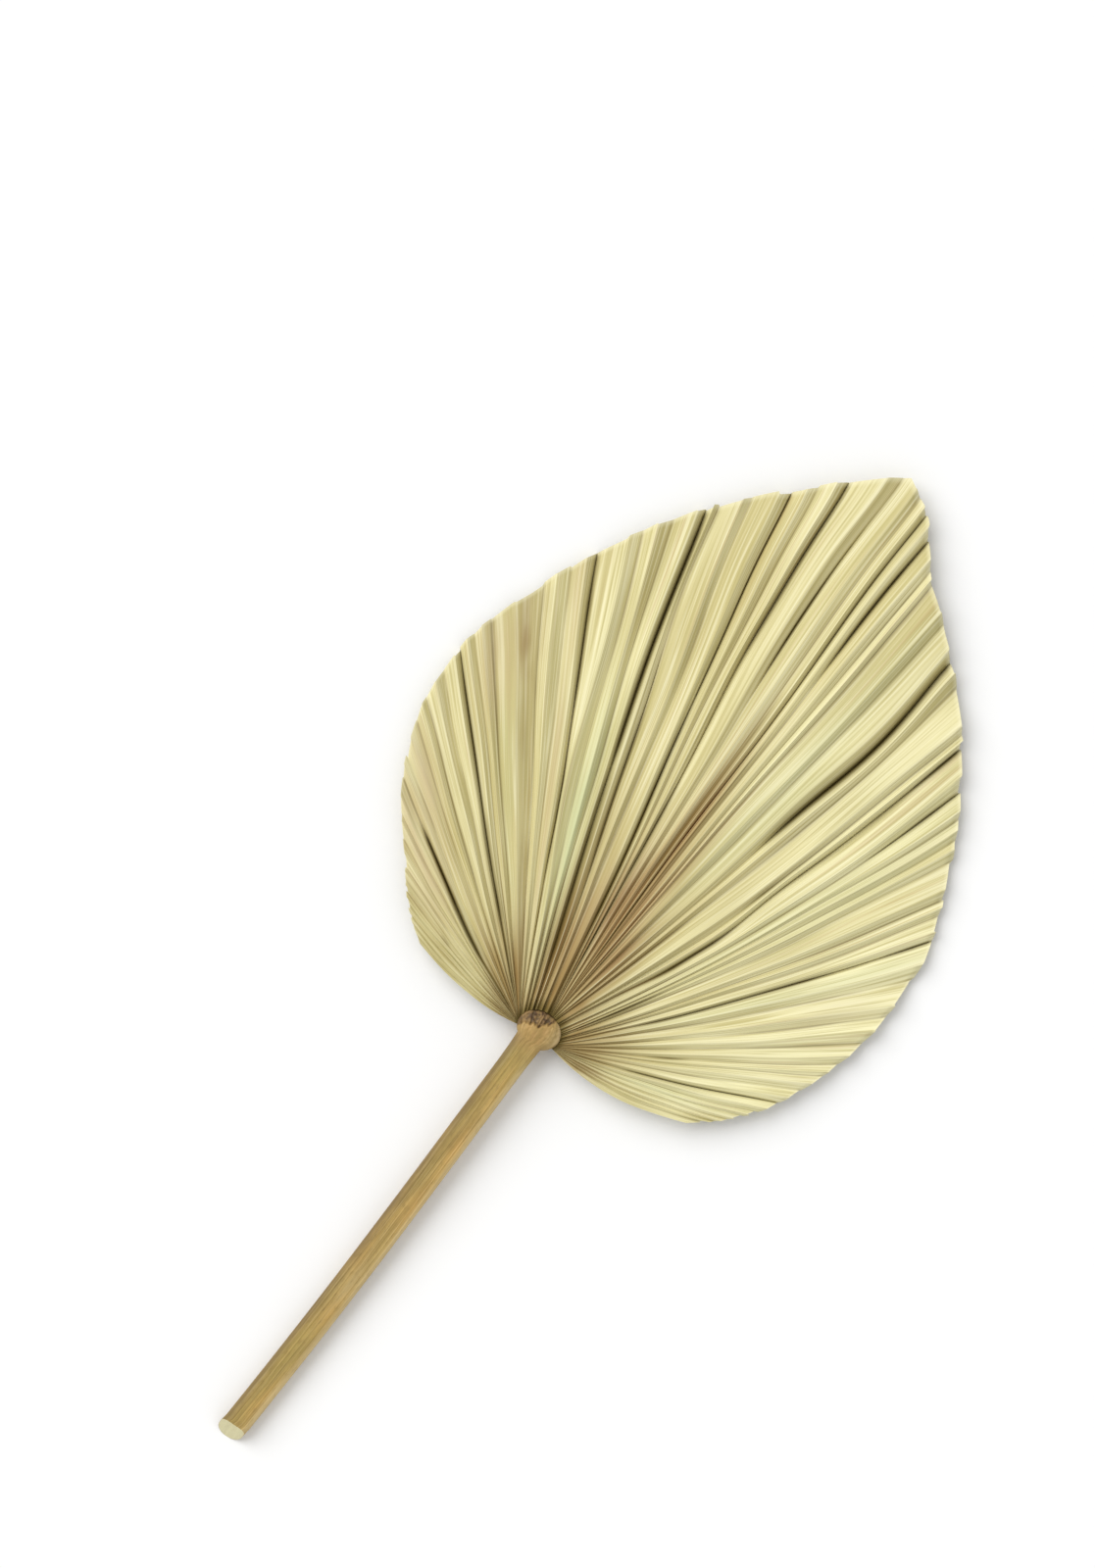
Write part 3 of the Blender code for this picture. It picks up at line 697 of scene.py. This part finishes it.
def stalk_faces(x, y):
    """Give the heights of the upper and the lower face at the points of one station."""
    middle, z = stalk_middle(y)
    offset = (x - middle) / shaft_width(y)
    room = np.maximum(0, 1 - offset ** 2)
    channel = CHANNEL_DEPTH * np.exp(-((offset / CHANNEL_SHARE) ** 2))
    inside = (np.abs(offset) < 1 + EDGE_ROUNDING) & (y <= STALK_HEAD_Y)
    domed = z + STALK_TOP * room ** (STALK_TOP_POWER / 2) - channel * (room > CHANNEL_EDGE)
    upper = np.where(inside, domed, -1.0)
    lower = np.where(inside, z - STALK_DEPTH * room ** (STALK_BACK_POWER / 2), 1.0)
    head = ((RING_X, 0.0, HEAD_RISE), (RING_HALF_WIDTH, RING_HALF_DEPTH, HEAD_HALF_HEIGHT))
    heel = ((0.0, HEEL_Y, HEEL_RISE), (HEEL_HALF_WIDTH, HEEL_LENGTH, HEEL_HALF_HEIGHT))
    for centre, half_sizes in (head, heel):
        upper = blended(upper, lump_face(x, y, centre, half_sizes, 1), 1)
        lower = blended(lower, lump_face(x, y, centre, half_sizes, -1), -1)
    return upper, np.maximum(lower, 0)


def root_zone(x, y):
    """Tell how far a point of the head lies among the fold bases, 0 to 1, and how deep in a groove."""
    turn = math.radians(ROOTS_TURN)
    past = -math.sin(turn) * (x - ROOTS_MIDDLE[0]) + math.cos(turn) * (y - ROOTS_MIDDLE[1])
    past += ROOTS_RAGGED * waves(ROOTS_EDGE_WAVES, x, y)
    part = ramp(past, 0, ROOTS_FADE)
    zone = part * part * (3 - 2 * part)
    direction = np.arctan2(x - RING_X, y - ROOTS_SOURCE)
    wander = waves(ROOTS_GROOVE_WAVES, direction) + ROOTS_LEAN * (x - y)
    uneven = ROOTS_GROOVE_EVENNESS + waves(ROOTS_UNEVEN_WAVES, direction)
    groove = (0.5 - 0.5 * np.sin(ROOTS_GROOVES * direction + wander)) * uneven
    return zone, groove


def head_relief(x, y):
    """Give how far the head's upper face stands off a plain dome: sunk, grooved fold bases and low lumps."""
    near = np.exp(-((((x - RING_X) ** 2 + y ** 2) / LUMP_REACH ** 2) ** 2))
    zone, groove = root_zone(x, y)
    lumps = LUMP_HEIGHT * waves(LUMP_WAVES, x, y)
    return near * (lumps - zone * (ROOTS_FALL + ROOTS_GROOVE_DEPTH * groove))


def fibre_relief(side, y):
    """Give the low ridges that run down the stalk, fading at its two sides."""
    wander = waves(FIBRE_WANDER_WAVES, y, side)
    return FIBRE_RELIEF * waves(FIBRE_WAVES, side, wander) * (1 - side ** 8)


def stalk_stations():
    """Space the stations: wide apart down the shaft, close together round the head and at the heel's end."""
    shaft = np.linspace(STALK_END_Y, HUB_START, SHAFT_STATIONS, endpoint=False)
    head = np.linspace(HUB_START, HUB_END, HUB_STATIONS, endpoint=False)
    heel_turn = np.linspace(0, math.pi / 2, HEEL_STATIONS)
    heel = HUB_END + (HEEL_Y + HEEL_LENGTH - HEEL_TIP_GAP - HUB_END) * np.sin(heel_turn)
    return np.concatenate([shaft, head, heel])


def stalk_rings():
    """Work out the stalk's rings of points, upper face from left to right and lower face back again."""
    spread = -np.cos(np.linspace(0, math.pi, STALK_SIDES + 1))
    side = np.concatenate([spread, spread[-2:0:-1]])
    rings = []
    for y in stalk_stations():
        left, right = section_span(y)
        x = 0.5 * (left + right) + 0.5 * (right - left) * spread
        upper, lower = stalk_faces(x, y)
        inner = np.minimum(1, RELIEF_FADE * (1 - np.abs(spread)))
        upper = upper + inner * head_relief(x, y) + inner * fibre_relief(spread, y)
        upper[[0, -1]] = 0.5 * (upper[[0, -1]] + lower[[0, -1]])
        height = np.concatenate([upper, lower[-2:0:-1]])
        across = np.concatenate([x, x[-2:0:-1]])
        middle, z = stalk_middle(y)
        near_cut = max(0, 1 - (y - STALK_END_Y) / CUT_LENGTH)
        slant = CUT_SLANT * (height - z + STALK_DEPTH) / (STALK_TOP + STALK_DEPTH) * near_cut
        rings.append(np.stack([across, y + slant, height, side], 1))
    return rings


def stalk_patches(patches, side, y):
    """Add up the patches of one colour on the stalk."""
    total = np.zeros(len(y))
    for below, place, long, wide, strength in patches:
        total += strength * np.exp(-(((y + below) / long) ** 2) - ((side - place) / wide) ** 2)
    return np.minimum(total, 1)


def stalk_values(points, side, pith):
    """Give what the stalk's material reads at each point."""
    x, y, z = points.T
    zone, groove = root_zone(x, y)
    reach = ((x - RING_X) ** 2 + y ** 2) / KNOB_REACH ** 2
    near = np.exp(-(reach ** 2))
    rooted = zone * np.exp(-(reach ** 4)) * (z > HEAD_RISE - ROOTS_FALL - ROOTS_GROOVE_DEPTH)
    return {
        "side": side,
        "along": y,
        "pith": pith,
        "amber": stalk_patches(AMBER_PATCHES, side, y),
        "moss": stalk_patches(MOSS_PATCHES, side, y),
        "pale": stalk_patches(PALE_PATCHES, side, y),
        "knob": KNOB_STRENGTH * near,
        "root": rooted,
        "root_groove": rooted * groove,
        "face": near * ramp(side, *FACE_ACROSS) * ramp(y, *FACE_ALONG) * (1 - zone),
        # painted shade along the stalk's left side
        "painted_left_shade": LEFT_SHADE * ramp(-side, *LEFT_SHADE_ACROSS) * ramp(-y, *LEFT_SHADE_BELOW) * (1 - pith),
        "light_edge": LIGHT_EDGE * ramp(side, *LIGHT_EDGE_ACROSS) * ramp(-y, *LIGHT_EDGE_BELOW) * (1 - pith),
    }


def make_stalk():
    """Model the stalk with its head and heel as one closed skin, and a face of pith at the cut end."""
    rings = stalk_rings()
    around = len(rings[0])
    rim = rings[0]
    centre = rim.mean(axis=0)
    cap = [centre + share * (rim - centre) for share in CAP_SHARES]
    grid = np.concatenate(cap[::-1] + rings + [centre[None], rings[-1].mean(axis=0)[None]])
    pith = np.zeros(len(grid))
    pith[:len(cap) * around] = 1
    pith[-2] = 1
    faces = []
    rows = len(cap) + len(rings)
    for row in range(rows - 1):
        for side in range(around):
            after = (side + 1) % around
            base = row * around
            faces.append((base + side, base + around + side, base + around + after, base + after))
    last = (rows - 1) * around
    for side in range(around):
        after = (side + 1) % around
        faces.append((len(grid) - 2, side, after))
        faces.append((len(grid) - 1, last + after, last + side))
    points = grid[:, :3] + (HUB_X, HUB_Y, 0)
    points[:, 2] = np.maximum(points[:, 2], 0)
    stalk = mesh_object("leaf_stalk", points, faces, stalk_values(grid[:, :3], grid[:, 3], pith))
    stalk.data.shade_smooth()
    stalk.data.set_sharp_from_angle(angle=math.radians(STALK_SHARP_ANGLE))
    return stalk


# How the shader nodes are laid out in the editor
NODES_A_ROW = 12
NODE_SPACING = 240


def node(tree, kind, **settings):
    """Add a shader node with its settings, on a grid in the order of making."""
    made = tree.nodes.new(kind)
    row, column = divmod(len(tree.nodes), NODES_A_ROW)
    made.location = (column * NODE_SPACING, -row * NODE_SPACING)
    for key, value in settings.items():
        setattr(made, key, value)
    return made


def new_material(name):
    """Start a material and give its tree and shader."""
    made = bpy.data.materials.new(name)
    made.use_nodes = True
    return made, made.node_tree, made.node_tree.nodes["Principled BSDF"]


def attribute(tree, name):
    """Read one of the values stored at the mesh's points."""
    return node(tree, "ShaderNodeAttribute", attribute_name=name).outputs["Fac"]


def put_in(tree, socket, value):
    """Give a socket a number, a colour of three numbers or another socket's output."""
    if isinstance(value, tuple):
        socket.default_value = (*value, 1)
    elif isinstance(value, (int, float)):
        socket.default_value = value
    else:
        tree.links.new(value, socket)


def arithmetic(tree, operation, first, second, clamp=False):
    """Combine two numbers or sockets."""
    made = node(tree, "ShaderNodeMath", operation=operation, use_clamp=clamp)
    put_in(tree, made.inputs[0], first)
    put_in(tree, made.inputs[1], second)
    return made.outputs[0]


def mix_colour(tree, amount, first, second):
    """Mix two colours, each a socket or three numbers."""
    made = node(tree, "ShaderNodeMix", data_type="RGBA", blend_type="MIX")
    put_in(tree, made.inputs[0], amount)
    put_in(tree, made.inputs[6], first)
    put_in(tree, made.inputs[7], second)
    return made.outputs[2]


def laid_over(tree, colour, shade, strength, *factors):
    """Mix a shade into a colour, by a strength times any further factors."""
    for factor in factors:
        strength = arithmetic(tree, "MULTIPLY", strength, factor)
    return mix_colour(tree, strength, colour, shade)


def streaks(tree, across, along, stretch, offset, detail):
    """Make noise that is drawn out along the folds: stretch tells how fast it changes across and along."""
    joined = node(tree, "ShaderNodeCombineXYZ")
    tree.links.new(arithmetic(tree, "MULTIPLY", across, stretch[0]), joined.inputs[0])
    tree.links.new(arithmetic(tree, "MULTIPLY", along, stretch[1]), joined.inputs[1])
    joined.inputs[2].default_value = offset
    return noise(tree, joined.outputs[0], 1.0, detail)


def noise(tree, place, scale, detail):
    """Make cloudy noise at a place."""
    made = node(tree, "ShaderNodeTexNoise", noise_dimensions="3D")
    made.inputs["Scale"].default_value = scale
    made.inputs["Detail"].default_value = detail
    tree.links.new(place, made.inputs["Vector"])
    return made.outputs["Fac"]


def streak_set(tree, across, along, rows):
    """Make several noises that are drawn out along the folds, by name."""
    return {name: streaks(tree, across, along, *settings) for name, *settings in rows}


def fitted(tree, value, low, high, least=0.0, most=1.0):
    """Stretch the part of a value between low and high to the range from least to most, with soft ends."""
    made = node(tree, "ShaderNodeMapRange", interpolation_type="SMOOTHSTEP")
    for name, number in (("From Min", low), ("From Max", high), ("To Min", least), ("To Max", most)):
        made.inputs[name].default_value = number
    tree.links.new(value, made.inputs["Value"])
    return made.outputs["Result"]


def streaked(tree, colour, noises, layers):
    """Lay streaks over a colour: each layer has a noise, a shade, the noise's limits and the strength."""
    for name, shade, low, high, strength in layers:
        colour = laid_over(tree, colour, shade, fitted(tree, noises[name], low, high, 0.0, strength))
    return colour


def patched(tree, colour, breaking, limits, rows):
    """Lay patches over a colour, broken up by a noise: each has a value that places it, a shade, and its
    least and most strength."""
    for name, shade, least, most in rows:
        broken = fitted(tree, breaking, *limits, least, most)
        colour = laid_over(tree, colour, shade, attribute(tree, name), broken)
    return colour


def add_bumps(tree, shader, bumps):
    """Chain bumps into the shader: each is a height, a strength and a depth in metres."""
    normal = None
    for height, strength, depth in bumps:
        bump = node(tree, "ShaderNodeBump")
        bump.inputs["Strength"].default_value = strength
        bump.inputs["Distance"].default_value = depth
        tree.links.new(height, bump.inputs["Height"])
        if normal is not None:
            tree.links.new(normal, bump.inputs["Normal"])
        normal = bump.outputs[0]
    tree.links.new(normal, shader.inputs["Normal"])


def finish_material(tree, shader, colour, roughness, specular, bumps):
    """Link a material's colour, roughness and bumps, and set its shine."""
    tree.links.new(colour, shader.inputs["Base Color"])
    tree.links.new(roughness, shader.inputs["Roughness"])
    shader.inputs["Specular IOR Level"].default_value = specular
    add_bumps(tree, shader, bumps)


CREAM = (0.74, 0.68, 0.37)
STRAW = (0.55, 0.47, 0.205)
OLIVE = (0.47, 0.41, 0.165)
GREEN = (0.55, 0.60, 0.33)
PINK = (0.58, 0.46, 0.26)
BROWN = (0.30, 0.185, 0.06)
GOLD = (0.40, 0.29, 0.105)
RUST = (0.44, 0.29, 0.12)
PALE = (0.86, 0.81, 0.53)
LIGHT_CREAM = (0.87, 0.83, 0.50)
SEPIA = (0.19, 0.125, 0.035)
CHESTNUT = (0.235, 0.120, 0.038)
DARK = (0.130, 0.092, 0.016)

# The noises of the leaf tissue: name, how fast each changes across and along the folds, offset, detail
LEAF_STREAKS = (
    ("veins", (6.0, 2.5), 0.0, 3.0), ("threads", (3.4, 1.3), 21.0, 2.0), ("hairs", (15.0, 3.0), 30.0, 1.0),
    ("lines", (2.6, 1.6), 5.0, 2.0), ("blotches", (0.7, 3.0), 9.0, 3.0), ("regions", (0.16, 1.8), 14.0, 2.0),
)

# What the noises draw on the leaf: noise, shade, the noise's limits, strength
LEAF_LAYERS = (
    ("threads", OLIVE, 0.52, 0.66, 0.45), ("threads", PALE, 0.45, 0.33, 0.45),
    ("veins", OLIVE, 0.51, 0.64, 0.55), ("veins", PALE, 0.47, 0.36, 0.50),
    ("hairs", OLIVE, 0.52, 0.66, 0.40), ("hairs", PALE, 0.46, 0.34, 0.35),
    ("lines", RUST, 0.60, 0.70, 0.30),
)

# Pairs of shares between which something grows or fades along the folds
DEEP_SHADE_SHARES = (0.36, 0.06)
LINE_SHARES = (0.40, 0.08)
VALLEY_SHADE_SHARES = (0.42, 0.05)
HEAD_SHADOW_SHARES = (0.035, 0.0)
RIM_SHARES = (0.988, 1.0)


def leaf_base(tree, noises):
    """Colour the panels cream to straw, and paint olive shade on those that fall away from the light."""
    blotches = noises["blotches"]
    tone = arithmetic(tree, "MULTIPLY", fitted(tree, attribute(tree, "tone"), -1, 1), 0.35)
    mixed = arithmetic(tree, "ADD", tone, noises["regions"])
    colour = mix_colour(tree, fitted(tree, mixed, 0.38, 0.98), CREAM, STRAW)
    # painted olive shade on the panels that face from the light
    colour = patched(tree, colour, blotches, (0.30, 0.60), (("painted_fold_shade", OLIVE, 0.25, 0.85),))
    colour = streaked(tree, colour, noises, (("blotches", STRAW, 0.50, 0.72, 0.35),))
    return laid_over(tree, colour, LIGHT_CREAM, attribute(tree, "bright"), 0.8)


def leaf_patches(tree, colour, noises, along):
    """Lay on the gold, green, pink, brown and reddish patches, and painted deep shade beside the hub on the
    panels that face from the light.
    """
    blotches = noises["blotches"]
    light_rows = (("gold", GOLD, 0.25, 0.9), ("green", GREEN, 0.25, 0.9), ("pink", PINK, 0.25, 0.9))
    colour = patched(tree, colour, blotches, (0.30, 0.60), light_rows)
    colour = patched(tree, colour, blotches, (0.36, 0.60), (("brown", BROWN, 0.25, 0.9),))
    # painted deep shade by the hub, on the panels that face from the light
    deep = fitted(tree, along, *DEEP_SHADE_SHARES, 0.0, 0.8)
    colour = laid_over(tree, colour, SEPIA, attribute(tree, "painted_fold_shade"), deep)
    colour = laid_over(tree, colour, RUST, attribute(tree, "rust"), 0.45)
    return patched(tree, colour, noises["threads"], (0.42, 0.57), (("rust", CHESTNUT, 0.0, 0.95),))


def leaf_folds(tree, colour, noises, along):
    """Draw the painted shade lines in the valleys and painted highlight lines on the ridges, painted shade
    in the grooves and pinched creases, a painted shadow round the stalk's head and the pale trimmed rim.
    """
    # painted shade lines in the valleys and painted highlight lines on the ridges, strongest by the hub
    broken = fitted(tree, noises["lines"], 0.40, 0.55, 0.15, 1.0)
    for name, shade, outer, inner in (("valley_shade_line", DARK, 0.65, 0.90), ("ridge_highlight_line", PALE, 0.50, 1.00)):
        strength = fitted(tree, along, *LINE_SHARES, outer, inner)
        colour = laid_over(tree, colour, shade, attribute(tree, name), broken, strength)
    # painted shade in the grooves of the valleys, strongest by the hub
    blotchy = fitted(tree, noises["blotches"], 0.36, 0.62, 0.05, 0.5)
    valley_shade = arithmetic(tree, "MULTIPLY", attribute(tree, "groove"), blotchy)
    valley_shade = arithmetic(tree, "MULTIPLY", valley_shade, fitted(tree, along, *VALLEY_SHADE_SHARES, 1.0, 4.0), clamp=True)
    colour = laid_over(tree, colour, SEPIA, valley_shade)
    # painted shadow round the stalk's head
    colour = laid_over(tree, colour, DARK, fitted(tree, along, *HEAD_SHADOW_SHARES, 0.0, 0.8))
    # painted shade in the pinched creases
    colour = patched(tree, colour, noises["blotches"], (0.25, 0.55), (("painted_crease_shade", DARK, 0.55, 1.0),))
    return laid_over(tree, colour, PALE, fitted(tree, along, *RIM_SHARES, 0.0, 0.5))


def blade_material():
    """Dried leaf tissue: cream panels with veins drawn out along the folds, patches, and painted shade on
    the panels that face from the light and in the valleys and creases.
    """
    made, tree, shader = new_material("dried_leaf")
    along = attribute(tree, "along")
    noises = streak_set(tree, attribute(tree, "across"), along, LEAF_STREAKS)
    colour = leaf_base(tree, noises)
    colour = streaked(tree, colour, noises, LEAF_LAYERS)
    colour = leaf_patches(tree, colour, noises, along)
    colour = leaf_folds(tree, colour, noises, along)
    roughness = fitted(tree, noises["veins"], 0.3, 0.7, 0.52, 0.78)
    bumps = (
        (noises["veins"], 0.5, 0.00022), (noises["lines"], 0.5, 0.00045), (noises["blotches"], 0.35, 0.0009),
    )
    finish_material(tree, shader, colour, roughness, 0.18, bumps)
    return made


HONEY = (0.47, 0.315, 0.100)
BARK = (0.31, 0.210, 0.068)
UMBER = (0.12, 0.080, 0.040)
AMBER = (0.57, 0.330, 0.090)
MOSS = (0.36, 0.275, 0.080)
SAND = (0.66, 0.51, 0.25)
PITH = (0.68, 0.63, 0.38)
PLUM = (0.080, 0.043, 0.022)
CHAFF = (0.33, 0.195, 0.085)
RUSSET = (0.46, 0.275, 0.105)
HUSK = (0.72, 0.54, 0.29)
MOTTLE_SCALE = 420
PITH_DOT_SCALE = 2600

# The noises of the stalk's skin: name, how fast each changes across and along the stalk, offset, detail
STALK_STREAKS = (
    ("fibres", (13.0, 24.0), 2.0, 3.0), ("bands", (3.0, 16.0), 7.0, 2.0),
    ("blotches", (1.3, 60.0), 12.0, 3.0), ("speckles", (5.0, 260.0), 17.0, 3.0),
)

# What the noises draw on the stalk: noise, shade, the noise's limits, strength
STALK_LAYERS = (
    ("bands", BARK, 0.48, 0.64, 0.50), ("speckles", BARK, 0.54, 0.66, 0.50),
    ("fibres", UMBER, 0.54, 0.72, 0.35), ("fibres", SAND, 0.45, 0.32, 0.35),
)

# The shades of the stalk's patches: value, shade, least and most strength
STALK_PATCH_SHADES = (
    ("amber", AMBER, 0.35, 0.75), ("moss", MOSS, 0.35, 0.80),
    ("knob", RUSSET, 0.35, 0.90), ("pale", SAND, 0.35, 0.80),
)


def head_colour(tree, colour, mottle):
    """Colour the brown fold bases with their dark grooves, the mottled knob and its pale right face."""
    patches = fitted(tree, mottle, 0.40, 0.60)
    base = laid_over(tree, PLUM, CHAFF, patches, 0.7)
    colour = laid_over(tree, colour, base, attribute(tree, "root"))
    deep = fitted(tree, attribute(tree, "root_groove"), 0.25, 0.80, 0.0, 0.85)
    colour = laid_over(tree, colour, UMBER, deep)
    colour = laid_over(tree, colour, BARK, attribute(tree, "knob"), patches, 0.5)
    return laid_over(tree, colour, HUSK, attribute(tree, "face"), 0.75)


def pith_colour(tree, place):
    """Colour the cut face: pale pith with the dots of the fibres' ends."""
    spots = node(tree, "ShaderNodeTexVoronoi", feature="F1")
    spots.inputs["Scale"].default_value = PITH_DOT_SCALE
    tree.links.new(place, spots.inputs["Vector"])
    return laid_over(tree, PITH, BARK, fitted(tree, spots.outputs["Distance"], 0.26, 0.14, 0.0, 0.3))


def stalk_material():
    """Dried stalk: tan skin with fibres, patches, painted shade on the left side, a light right side, and
    pale pith.
    """
    made, tree, shader = new_material("dried_stalk")
    noises = streak_set(tree, attribute(tree, "side"), attribute(tree, "along"), STALK_STREAKS)
    place = node(tree, "ShaderNodeTexCoord").outputs["Object"]
    mottle = noise(tree, place, MOTTLE_SCALE, 3.0)
    colour = mix_colour(tree, fitted(tree, noises["blotches"], 0.34, 0.66), HONEY, BARK)
    colour = patched(tree, colour, noises["bands"], (0.30, 0.60), STALK_PATCH_SHADES)
    colour = streaked(tree, colour, noises, STALK_LAYERS)
    colour = head_colour(tree, colour, mottle)
    # painted shade on the stalk's left side
    colour = laid_over(tree, colour, UMBER, attribute(tree, "painted_left_shade"))
    colour = patched(tree, colour, noises["blotches"], (0.30, 0.60), (("light_edge", SAND, 0.4, 1.0),))
    colour = laid_over(tree, colour, pith_colour(tree, place), attribute(tree, "pith"))
    roughness = fitted(tree, noises["fibres"], 0.3, 0.7, 0.42, 0.66)
    bumps = (
        (noises["fibres"], 0.6, 0.00025), (noises["bands"], 0.5, 0.0005), (noises["blotches"], 0.4, 0.0008),
        (mottle, 0.35, 0.0008),
    )
    finish_material(tree, shader, colour, roughness, 0.22, bumps)
    return made


def make_floor():
    """Lay a pale floor under the leaf."""
    bpy.ops.mesh.primitive_grid_add(
        x_subdivisions=FLOOR_CELLS, y_subdivisions=FLOOR_CELLS, size=FLOOR_SIZE,
    )
    floor = bpy.context.object
    floor.name = "floor"
    made, tree, shader = new_material("pale_floor")
    shader.inputs["Base Color"].default_value = FLOOR_COLOUR
    shader.inputs["Roughness"].default_value = FLOOR_ROUGHNESS
    floor.data.materials.append(made)
    return floor


def make_light():
    """Light the scene with one wide soft lamp and a white sky."""
    lamp = bpy.data.lights.new("soft_lamp", "SUN")
    lamp.energy = LAMP_STRENGTH
    lamp.angle = math.radians(LAMP_SPREAD)
    holder = bpy.data.objects.new("soft_lamp", lamp)
    bpy.context.scene.collection.objects.link(holder)
    level = math.cos(math.radians(LAMP_ELEVATION))
    towards = Vector((LAMP_FROM[0] * level, LAMP_FROM[1] * level, math.sin(math.radians(LAMP_ELEVATION))))
    holder.rotation_euler = towards.to_track_quat("Z", "Y").to_euler()
    world = bpy.data.worlds.new("white_sky")
    world.use_nodes = True
    sky = world.node_tree.nodes["Background"]
    sky.inputs[0].default_value = (1, 1, 1, 1)
    sky.inputs[1].default_value = SKY_STRENGTH
    bpy.context.scene.world = world
    bpy.context.scene.view_settings.view_transform = "Standard"


def make_camera():
    """Look straight down at the leaf, as the photograph does."""
    lens = bpy.data.cameras.new("camera")
    lens.sensor_width = SENSOR
    lens.lens = SENSOR * CAMERA_DISTANCE / VIEW_HEIGHT
    lens.clip_end = CLIP_END
    camera = bpy.data.objects.new("camera", lens)
    camera.location = CAMERA_PLACE
    camera.rotation_euler = (0, 0, math.radians(CAMERA_TURN))
    bpy.context.scene.collection.objects.link(camera)
    bpy.context.scene.camera = camera


def main():
    """Dress the frame and set up the picture."""
    make_camera()
    make_light()
    make_floor()
    for piece, skin, name in (
        (make_blade(), blade_material(), "blade"), (make_stalk(), stalk_material(), "stalk"),
    ):
        piece.data.materials.append(skin)
        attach(piece, "root")
        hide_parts(name)


main()
